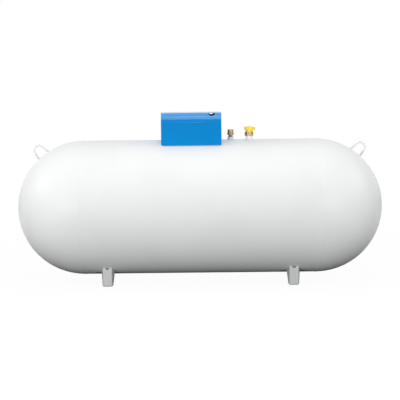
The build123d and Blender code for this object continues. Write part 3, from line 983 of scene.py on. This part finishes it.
@dataclass
class Leg:
    """One folded leg and the weld that holds it to the barrel."""

    vessel: Vessel
    node: str
    web: float = 0.072
    splay: float = math.radians(10.0)
    notch: float = 0.030
    flange_start: float = 0.008
    web_start: float = 0.006
    weld: Weld = Weld(0.0035)
    steps: int = 10

    def weld_route(self, hand: int) -> list[Vector]:
        """Line of the weld along one flange, round the bend and along the web up to the notch.

        Args:
            hand: -1 for the half at lower x, 1 for the other.

        Returns:
            The line's points.
        """
        low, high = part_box(self.node)
        middle = (low.x + high.x) / 2
        face, back = (low.y, high.y) if low.y < 0 else (high.y, low.y)
        inwards = -1 if face > 0 else 1
        flange = abs(face - back) - self.flange_start
        route = []
        for share in reversed(shares(self.steps)):
            depth = self.flange_start + flange * share
            span = self.web / 2 + depth * math.tan(self.splay)
            route.append(self.vessel.under(middle + hand * span, face + inwards * depth))
        start, end = self.web / 2 - self.web_start, self.notch / 2
        for share in shares(self.steps):
            span = start + (end - start) * share
            route.append(self.vessel.under(middle + hand * span, face))
        return route

    def build(self, finishes: Finishes) -> None:
        """Welds the leg on and paints it.

        Args:
            finishes: The finishes.
        """
        bead = self.weld.lay(f"weld_{self.node}", [self.weld_route(-1), self.weld_route(1)])
        # The leg and its weld take the darker white, which paints in the shade under the barrel.
        Bench.finish(bead, finishes.shaded_leg_white, Body.TANK, Slot.WHITE_PAINT)
        Bench.dress(finishes.shaded_leg_white, self.node)


@dataclass(frozen=True)
class Rivet:
    """Pan-headed rivet whose head faces the rear; rim, crown and rounding are shares of its size."""

    radius: float = 0.0055
    height: float = 0.0030
    sides: int = 28
    rim: float = 0.45
    crown: float = 0.12
    rounding: float = 0.5

    def make(self, name: str, seat: Vector) -> Piece:
        """Models one rivet head.

        Args:
            name: The piece's name.
            seat: Middle of the head's underside.

        Returns:
            The head.
        """
        head = Bench.drum(name, self.sides, self.radius, self.height, seat, lying=True)
        Bench.pick_facing(head, REAR)
        with Bench.editing(head):
            bpy.ops.mesh.inset(thickness=self.radius * self.rim)
            Bench.pull(REAR * (self.height * self.crown))
        Bench.modify(head, "BEVEL", width=self.height * self.rounding, segments=4, limit_method="ANGLE")
        Bench.outward(head)
        Bench.smooth(head)
        return head


@dataclass
class Hood:
    """Blue hood: its pressed crease, the welds of its end plates and its hinges."""

    vessel: Vessel
    shoulder: float = 0.068
    sheet: float = 0.003
    weld_foot: float = 0.017
    crease_drop: float = 0.074
    crease_margin: float = 0.038
    crease_radius: float = 0.0016
    crease_sink: float = 0.00128
    run_out: float = 0.012
    weld: Weld = Weld(0.0022, lump_size=0.005, lump_height=0.0007)
    strap: float = 0.004
    rivet: Rivet = Rivet()
    rivet_drops: Span = (0.015, 0.043)
    arc_steps: int = 10

    def section(self, x: float, inset: float) -> list[Vector]:
        """Line of the cover's section at x, from the front's foot over the top to the rear's foot.

        Args:
            x: Place along the tank.
            inset: Depth of the line inside the cover's outer face.

        Returns:
            The line's points.
        """
        low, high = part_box("hood_cover")
        radius = self.shoulder - inset
        centre_z = high.z - self.shoulder
        foot_z = low.z + self.weld_foot
        turns = [math.pi / 2 * share for share in shares(self.arc_steps)]
        points = [Vector((x, low.y + inset, foot_z))]
        for hand, centre_y in ((-1, low.y + self.shoulder), (1, high.y - self.shoulder)):
            for turn in turns[::-hand]:
                y = centre_y + hand * radius * math.cos(turn)
                points.append(Vector((x, y, centre_z + radius * math.sin(turn))))
        points.append(Vector((x, high.y - inset, foot_z)))
        return points

    def crease(self) -> Piece:
        """Makes the narrow pressed line across the front, below the shoulder.

        Returns:
            The line, which runs out into the sheet at both ends.
        """
        low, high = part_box("hood_cover")
        z = high.z - self.crease_drop
        start, end = low.x + self.crease_margin, high.x - self.crease_margin
        sunk = low.y + self.crease_sink
        places = ((start, sunk), (start + self.run_out, low.y), (end - self.run_out, low.y), (end, sunk))
        line = Bench.rod("hood_crease", [Vector((x, y, z)) for x, y in places], self.crease_radius)
        Bench.smooth(line, ROUND_ANGLE)
        return line

    def end_welds(self) -> Piece:
        """Makes the beads that join both end plates to the cover."""
        faces = (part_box("hood_end_left")[0].x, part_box("hood_end_right")[1].x)
        return self.weld.lay("weld_hood_ends", [self.section(x, self.sheet) for x in faces])

    def bracket_weld(self, side: Side) -> Piece:
        """Makes the bead round the foot of one hinge bracket.

        Args:
            side: The bracket's side.

        Returns:
            The bead.
        """
        low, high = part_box(f"hinge_bracket_{side.label}")
        places = ((low.x, low.y), (high.x, low.y), (high.x, high.y), (low.x, high.y))
        corners = [Vector(place) for place in places]
        route = [
            self.vessel.over(*corner.lerp(following, share))
            for corner, following in zip(corners, corners[1:] + corners[:1])
            for share in shares(self.arc_steps)[:-1]
        ]
        return self.weld.lay(f"weld_hinge_{side.label}", [route + route[:1]])

    def rivets(self) -> list[Piece]:
        """Makes the rivets that hold both hinge straps to the rear skirt.

        Returns:
            The rivets.
        """
        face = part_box("hood_cover")[1].y + self.strap
        tops = [top_of(f"hinge_strap_{side.label}") for side in Side]
        seats = [Vector((top.x, face, top.z - drop)) for top in tops for drop in self.rivet_drops]
        return Bench.repeat(self.rivet.make, "strap_rivet", seats)

    def build(self, finishes: Finishes) -> None:
        """Makes the hood's details and paints it.

        Args:
            finishes: The finishes.
        """
        for piece in (self.crease(), self.end_welds(), *self.rivets()):
            Bench.finish(piece, finishes.hood_blue, Body.HOOD, Slot.BLUE_PAINT)
        Bench.dress(finishes.hood_blue, "hood_cover", "hood_end_left", "hood_end_right")
        for side in Side:
            Bench.finish(self.bracket_weld(side), finishes.shaded_fitting_white, Body.TANK, Slot.WHITE_PAINT)
            Bench.dress(finishes.hood_blue, f"hinge_strap_{side.label}")
            Bench.dress(finishes.shaded_fitting_white, f"hinge_bracket_{side.label}")
            Bench.dress(finishes.pin_steel, f"hinge_pin_{side.label}")


@dataclass
class Thread:
    """Screw thread of one length along its axis."""

    radius: float
    length: float
    pitch: float = 0.0022
    depth: float = 0.0010
    crest_angle: float = 30.0
    steps: int = 40

    def cut(self, name: str, centre: Vector, lying: bool = False) -> Piece:
        """Makes the thread's ridge as one winding.

        Args:
            name: The piece's name.
            centre: Point on the thread's axis where it starts.
            lying: Whether the thread lies with its top to the front, not upright.

        Returns:
            The ridge.
        """
        ridge = Bench.start(
            name,
            bpy.ops.mesh.primitive_circle_add,
            vertices=3,
            radius=self.depth,
            rotation=(math.pi / 2, 0, 0),
            location=(self.radius, 0, self.depth),
        )
        Bench.modify(
            ridge,
            "SCREW",
            axis="Z",
            angle=math.tau,
            screw_offset=self.pitch,
            iterations=max(1, int((self.length - 2 * self.depth) / self.pitch)),
            steps=self.steps,
            render_steps=self.steps,
        )
        with Bench.editing(ridge):
            Bench.pick_all()
            bpy.ops.mesh.fill_holes(sides=3)
        ridge.location = centre
        ridge.rotation_euler = (math.pi / 2 if lying else 0.0, 0, 0)
        Bench.settle(ridge)
        Bench.outward(ridge)
        Bench.smooth(ridge, self.crest_angle)
        return ridge


@dataclass
class Valve:
    """Upright fitting on a coupling: the coupling's weld, the thread between, and the finishes."""

    vessel: Vessel
    name: str
    thread_radius: float = 0.0
    thread_top: float = 0.0
    weld: Weld = Weld()

    def build(self, finishes: Finishes) -> None:
        """Welds the coupling on, shows the valve's thread above it and paints them.

        Args:
            finishes: The finishes.
        """
        coupling = f"{self.name}_coupling"
        weld = self.weld.lay(f"weld_{self.name}", [self.vessel.ring(coupling)])
        Bench.finish(weld, finishes.shaded_fitting_white, Body.TANK, Slot.WHITE_PAINT)
        Bench.dress(finishes.shaded_fitting_white, coupling)
        Bench.dress(finishes.brass, f"{self.name}_body")
        if self.thread_radius:
            top = top_of(coupling)
            length = self.vessel.crest_z + self.thread_top - top.z
            thread = Thread(self.thread_radius, length).cut(f"{self.name}_thread", top)
            Bench.finish(thread, finishes.brass, Body.TANK, Slot.BRASS)


@dataclass(frozen=True)
class HexBolt:
    """Hexagon bolt head on a washer; flat, crown, chamfer and washer_edge are shares of its size."""

    across: float = 0.013
    head: float = 0.0065
    flat: float = 0.10
    crown: float = 0.12
    chamfer: float = 0.06
    washer: float = 0.018
    washer_height: float = 0.0016
    washer_edge: float = 0.25
    washer_sides: int = 28
    round_angle: float = 14.0

    def make(self, name: str, seat: Vector) -> Piece:
        """Models the bolt standing on its seat.

        Args:
            name: The piece's name.
            seat: Middle of the washer's underside.

        Returns:
            The bolt and washer as one piece.
        """
        disc = Bench.drum(f"{name}_washer", self.washer_sides, self.washer / 2, self.washer_height, seat)
        Bench.modify(disc, "BEVEL", width=self.washer_height * self.washer_edge, segments=2)
        corner = self.across / 2 / math.cos(math.pi / 6)
        head = Bench.drum(name, 6, corner, self.head, seat + UP * self.washer_height)
        Bench.pick_facing(head, UP)
        with Bench.editing(head):
            bpy.ops.mesh.inset(thickness=self.across * self.flat)
            Bench.pull(UP * (self.head * self.crown))
        Bench.modify(head, "BEVEL", width=self.head * self.chamfer, segments=2)
        bolt = Bench.join(name, [head, disc])
        Bench.outward(bolt)
        Bench.smooth(bolt, self.round_angle)
        return bolt


@dataclass
class LevelGauge:
    """Level gauge: its pad's weld, four bolts, dial and pointer under the lens.

    The sizes of hub and pointer, apart from the pointer's width, are shares of the dial's.
    """

    vessel: Vessel
    weld: Weld = Weld(0.0045)
    bolt: HexBolt = HexBolt()
    bolt_circle: float = 0.078
    flange: float = 0.010
    dial: float = 0.0452
    dial_sides: int = 64
    dial_depth: float = 0.002
    dial_thickness: float = 0.0008
    hub_inset: float = 0.44
    hub_rise: float = 1 / 3
    pointer_width: float = 0.0030
    pointer_length: float = 0.62
    pointer_shift: float = 0.22
    pointer_tip: float = 0.15
    pointer_thickness: float = 1 / 4
    pointer_edge: float = 1 / 12
    centre: Vector = field(init=False)

    def __post_init__(self) -> None:
        """Reads the gauge's place, at the underside of its lens."""
        self.centre = top_of("gauge_lens")
        self.centre.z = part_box("gauge_lens")[0].z

    def make_dial(self) -> Piece:
        """Makes the dial's disc, with a raised middle.

        Returns:
            The disc.
        """
        disc = Bench.start(
            "gauge_dial",
            bpy.ops.mesh.primitive_circle_add,
            vertices=self.dial_sides,
            radius=self.dial / 2,
            fill_type="NGON",
            location=self.centre - UP * self.dial_depth,
        )
        with Bench.editing(disc):
            Bench.pick_all()
            Bench.pull(UP * self.dial_thickness)
            bpy.ops.mesh.inset(thickness=self.dial * self.hub_inset)
            Bench.pull(UP * (self.dial_thickness * self.hub_rise))
        Bench.outward(disc)
        Bench.smooth(disc)
        return disc

    def make_pointer(self) -> Piece:
        """Makes the tapered pointer over the dial.

        Returns:
            The pointer.
        """
        length = self.dial * self.pointer_length
        top = self.centre - UP * self.dial_thickness
        pointer = Bench.start("gauge_pointer", bpy.ops.mesh.primitive_plane_add, size=1.0)
        pointer.scale = (length, self.pointer_width, 1.0)
        pointer.location = top + RIGHT * (length * self.pointer_shift)
        Bench.settle(pointer)
        with Bench.editing(pointer):
            Bench.pick_all()
            Bench.pull(UP * (self.dial_thickness * self.pointer_thickness))
        Bench.outward(pointer)
        Bench.pick_facing(pointer, RIGHT)
        with Bench.editing(pointer):
            bpy.ops.transform.resize(value=(1.0, self.pointer_tip, 1.0), center_override=top)
        Bench.modify(pointer, "BEVEL", width=self.dial_thickness * self.pointer_edge, segments=2)
        Bench.smooth(pointer)
        return pointer

    def bolts(self) -> list[Piece]:
        """Makes the bolts at the corners of the flange.

        Returns:
            The bolts.
        """
        reach = self.bolt_circle / 2 / math.sqrt(2)
        foot = Vector((self.centre.x, self.centre.y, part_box("gauge_pad")[1].z + self.flange))
        corners = ((1, 1), (-1, 1), (-1, -1), (1, -1))
        seats = [foot + (RIGHT * across + REAR * back) * reach for across, back in corners]
        return Bench.repeat(self.bolt.make, "gauge_bolt", seats)

    def build(self, finishes: Finishes) -> None:
        """Makes the gauge's details and gives its pieces their finishes.

        Args:
            finishes: The finishes.
        """
        weld = self.weld.lay("weld_gauge_pad", [self.vessel.ring("gauge_pad")])
        Bench.finish(weld, finishes.shaded_fitting_white, Body.TANK, Slot.WHITE_PAINT)
        Bench.finish(self.make_dial(), finishes.dial_face, Body.TANK, Slot.WHITE_PAINT)
        Bench.finish(self.make_pointer(), finishes.pointer_red, Body.TANK, Slot.GREY_PLASTIC)
        for bolt in self.bolts():
            Bench.finish(bolt, finishes.pin_steel, Body.TANK, Slot.PLATED_STEEL)
        Bench.dress(finishes.shaded_fitting_white, "gauge_pad")
        Bench.dress(finishes.gauge_alloy, "gauge_head")
        Bench.dress(finishes.lens_clear, "gauge_lens")


@dataclass
class ValveGroup:
    """All upright valves, in and beside the hood."""

    vessel: Vessel
    liquid_thread: float = 0.0165
    service_thread: float = 0.015
    relief_thread: float = 0.020
    liquid_hex_bottom: float = 0.037
    service_hex_bottom: float = 0.024
    relief_hex_bottom: float = 0.026
    stem_nut: HexBolt = HexBolt(across=0.017, head=0.006, washer=0.020)
    outlet_height: float = 0.061
    outlet_bore: float = 0.011
    outlet_depth: float = 0.020
    cap_ring_radii: Span = (0.012, 0.025)
    cap_ring_bead: float = 0.0012
    cap_ring_steps: int = 48

    def valves(self) -> list[Valve]:
        """The valves with their exposed threads."""
        return [
            Valve(self.vessel, "liquid_valve", self.liquid_thread, self.liquid_hex_bottom),
            Valve(self.vessel, "fill_valve"),
            Valve(self.vessel, "service_valve", self.service_thread, self.service_hex_bottom),
            Valve(self.vessel, "relief_valve", self.relief_thread, self.relief_hex_bottom),
        ]

    def outlet_thread(self) -> Piece:
        """Makes the thread inside the service valve's outlet.

        Returns:
            The thread.
        """
        inner_end = top_of("service_valve_body")
        inner_end.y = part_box("service_valve_body")[0].y + self.outlet_depth
        inner_end.z = self.vessel.crest_z + self.outlet_height
        return Thread(self.outlet_bore, self.outlet_depth).cut("outlet_thread", inner_end, lying=True)

    def cap_rings(self) -> Piece:
        """Makes the moulded rings on top of the fill valve's cap.

        Returns:
            The rings as one piece.
        """
        middle = Vector((top_of("fill_valve_coupling").x, 0, top_of("fill_valve_cap").z))
        beads = []
        for number, radius in enumerate(self.cap_ring_radii):
            turn = round_turn(self.cap_ring_steps)
            route = [middle + (RIGHT * cos + REAR * sin) * radius for cos, sin in turn]
            beads.append(Bench.rod(f"cap_ring_{number}", route, self.cap_ring_bead))
        rings = Bench.join("cap_rings", beads)
        Bench.smooth(rings, ROUND_ANGLE)
        return rings

    def build(self, finishes: Finishes) -> None:
        """Builds each valve's details and gives caps and handwheel their finishes.

        Args:
            finishes: The finishes.
        """
        for valve in self.valves():
            valve.build(finishes)
        Bench.dress(finishes.brass, "liquid_valve_cap")
        Bench.dress(finishes.cap_yellow, "fill_valve_cap", "fill_cap_lanyard")
        Bench.dress(finishes.wheel_green, "service_handwheel")
        Bench.dress(finishes.cap_grey, "relief_valve_cap")
        nut = self.stem_nut.make("handwheel_nut", top_of("service_handwheel"))
        Bench.finish(nut, finishes.pin_steel, Body.TANK, Slot.PLATED_STEEL)
        Bench.finish(self.outlet_thread(), finishes.brass, Body.TANK, Slot.BRASS)
        Bench.finish(self.cap_rings(), finishes.cap_yellow, Body.TANK, Slot.YELLOW_PLASTIC)


@dataclass(frozen=True)
class Lamp:
    """Soft lamp at a bearing and an elevation, in degrees, from what it points at."""

    name: str
    bearing: float
    elevation: float
    distance: float
    size: Span
    power: float

    def hang(self, aim: Vector) -> None:
        """Hangs the lamp.

        Args:
            aim: What it points at.
        """
        turn, rise = math.radians(self.bearing), math.radians(self.elevation)
        level = (RIGHT * math.sin(turn) - REAR * math.cos(turn)) * math.cos(rise)
        away = level + UP * math.sin(rise)
        data = bpy.data.lights.new(self.name, "AREA")
        data.shape = "RECTANGLE"
        data.size, data.size_y = self.size
        data.energy = self.power
        lamp = bpy.data.objects.new(self.name, data)
        lamp.location = aim + away * self.distance
        lamp.rotation_euler = (-away).to_track_quat("-Z", "Y").to_euler()
        bpy.context.scene.collection.objects.link(lamp)


@dataclass
class Studio:
    """Floor, world, lamps and camera."""

    camera_place: Vector = field(default_factory=lambda: Vector((0.0, -7.5, 1.5)))
    focal_px: float = 964.5
    image_px: float = 400.0
    sensor_mm: float = 36.0
    axis_below_centre_px: float = 6.05
    roll: float = math.radians(0.6)
    floor_size: float = 90.0
    floor_grey: float = 0.09
    floor_edge: Span = (-4.6, -3.4)
    # Painted shadow in reflections: mirrors see no white floor under the tank.
    under_tank: Span = (0.8, 0.4)
    # Painted light: past the tank's ends the floor's grey is paler, to light the heads from below.
    end_edge: Span = (1.15, 1.6)
    end_light_greys: Span = (0.27, 0.18)
    # Painted shadow: right under the tank the floor's grey goes nearly black.
    deep_shade: Span = (0.5, 0.2)
    shade_end: Span = (1.5, 1.0)
    shade_grey: float = 0.01
    backdrop_share: float = 0.96
    backdrop_edge: Span = (1.5, 4.0)
    world_level: float = 0.50
    room_level: float = 0.16
    room_edge: Span = (-0.65, 0.15)
    lamp_aim: float = 0.6
    lamps: tuple[Lamp, ...] = (
        Lamp("overhead", 0.0, 88.0, 5.2, (4.6, 5.0), 64.0),
        Lamp("strip", 0.0, 57.0, 5.5, (1.1, 4.4), 42.0),
        Lamp("front_left", -30.0, 6.0, 9.0, (2.4, 2.0), 360.0),
        Lamp("front_right", 30.0, 6.0, 9.0, (2.4, 2.0), 272.0),
        Lamp("left", -85.0, 26.0, 7.0, (2.4, 2.4), 122.0),
        Lamp("right", 85.0, 27.0, 7.0, (2.4, 2.4), 104.0),
    )

    @staticmethod
    def seen_rays(graph: Graph) -> tuple[Field, Field]:
        """Adds the tests for rays that show the white surroundings.

        Args:
            graph: The graph of the floor or of the world.

        Returns:
            A field that is 1 on camera rays, and one that is 1 on those of mirrors and glass too.
        """
        path = graph.node("LightPath")
        names = ("Is Camera Ray", "Is Glossy Ray", "Is Transmission Ray")
        camera, glossy, glass = (Field(graph, path.outputs[name]) for name in names)
        return camera, camera.math("MAXIMUM", glossy).math("MAXIMUM", glass)

    def floor(self) -> None:
        """Lays the white floor with its soft shadow; its grey for other rays holds a painted shadow under
        the tank and painted light past its ends.
        """
        plane = Bench.start("floor", bpy.ops.mesh.primitive_plane_add, size=self.floor_size)
        graph = Graph.of_material("floor_white")
        camera, seen = self.seen_rays(graph)
        x, y, _, _ = graph.place()
        # Mirrors see the floor white, except past its front edge and in the painted shadow under the tank.
        mirror_white = y.step(*self.floor_edge) * (1.0 - abs(y).step(*self.under_tank))
        white = camera.math("MAXIMUM", seen * mirror_white)
        grey: Colour | Socket = (self.floor_grey,) * 3
        # Painted light: the floor is paler past the tank's ends, which lights the heads' lower sides.
        for side, level in zip(Side, self.end_light_greys):
            grey = graph.mix((x * side.value).step(*self.end_edge), grey, (level,) * 3)
        # Painted shadow: right under the tank the floor is nearly black to every ray but the camera's.
        painted_shadow = abs(y).step(*self.deep_shade) * abs(x).step(*self.shade_end)
        grey = graph.mix(painted_shadow, grey, (self.shade_grey,) * 3)
        ground = graph.node("BsdfDiffuse", inputs={"Color": graph.mix(white, grey, WHITE)})
        paper = graph.node("Emission", inputs={"Color": (*WHITE, 1.0), "Strength": 1.0})
        far = (x * x + y * y).math("SQRT").step(*self.backdrop_edge)
        share = camera * (far * (1.0 - self.backdrop_share) + self.backdrop_share)
        graph.close(graph.node("MixShader", inputs={0: share, 1: ground.outputs[0], 2: paper.outputs[0]}))
        plane.data.materials.append(graph.owner)

    def world(self) -> None:
        """Makes the world a white backdrop behind the tank and a dimmer room behind the camera."""
        bpy.context.scene.world = bpy.data.worlds.new("studio")
        graph = Graph(bpy.context.scene.world)
        camera, seen = self.seen_rays(graph)
        ray = graph.node("SeparateXYZ", inputs={"Vector": graph.node("TexCoord").outputs["Generated"]})
        behind = Field(graph, ray.outputs["Y"]).step(*self.room_edge)
        room = (behind * (1.0 - self.room_level) + self.room_level).math("MAXIMUM", camera)
        level = room * (seen * (1.0 - self.world_level) + self.world_level)
        graph.close(graph.node("Background", inputs={"Color": (*WHITE, 1.0), "Strength": level}))

    def camera(self, target: Vector) -> None:
        """Sets the camera where the photograph was taken.

        Args:
            target: The tank's middle, which lies just below the picture's middle.
        """
        data = bpy.data.cameras.new("camera")
        data.sensor_width = self.sensor_mm
        data.lens = self.focal_px / self.image_px * self.sensor_mm
        camera = bpy.data.objects.new("camera", data)
        sight = target - self.camera_place
        down = math.atan2(-sight.z, math.hypot(sight.x, sight.y))
        pitch = math.pi / 2 - down + math.atan2(self.axis_below_centre_px, self.focal_px)
        turn = Matrix.Rotation(pitch, 4, "X") @ Matrix.Rotation(-self.roll, 4, "Z")
        camera.matrix_world = Matrix.Translation(self.camera_place) @ turn
        bpy.context.scene.collection.objects.link(camera)
        bpy.context.scene.camera = camera

    def build(self, target: Vector) -> None:
        """Sets up floor, light and camera.

        Args:
            target: The tank's middle.
        """
        self.floor()
        self.world()
        for lamp in self.lamps:
            lamp.hang(UP * self.lamp_aim)
        self.camera(target)
        bpy.context.scene.view_settings.view_transform = "Standard"


def main() -> None:
    """Builds every sub-assembly in order."""
    logging.basicConfig(level=logging.INFO)
    vessel = Vessel()
    gauge = LevelGauge(vessel)
    finishes = Finishes(vessel, gauge)
    vessel.dress(finishes)
    for side in Side:
        LiftingLug(vessel, side).build(finishes)
        for row in ("front", "rear"):
            Leg(vessel, f"leg_{row}_{side.label}").build(finishes)
    Hood(vessel).build(finishes)
    ValveGroup(vessel).build(finishes)
    gauge.build(finishes)
    Studio().build(UP * vessel.axis_z)


if __name__ == "__main__":
    main()
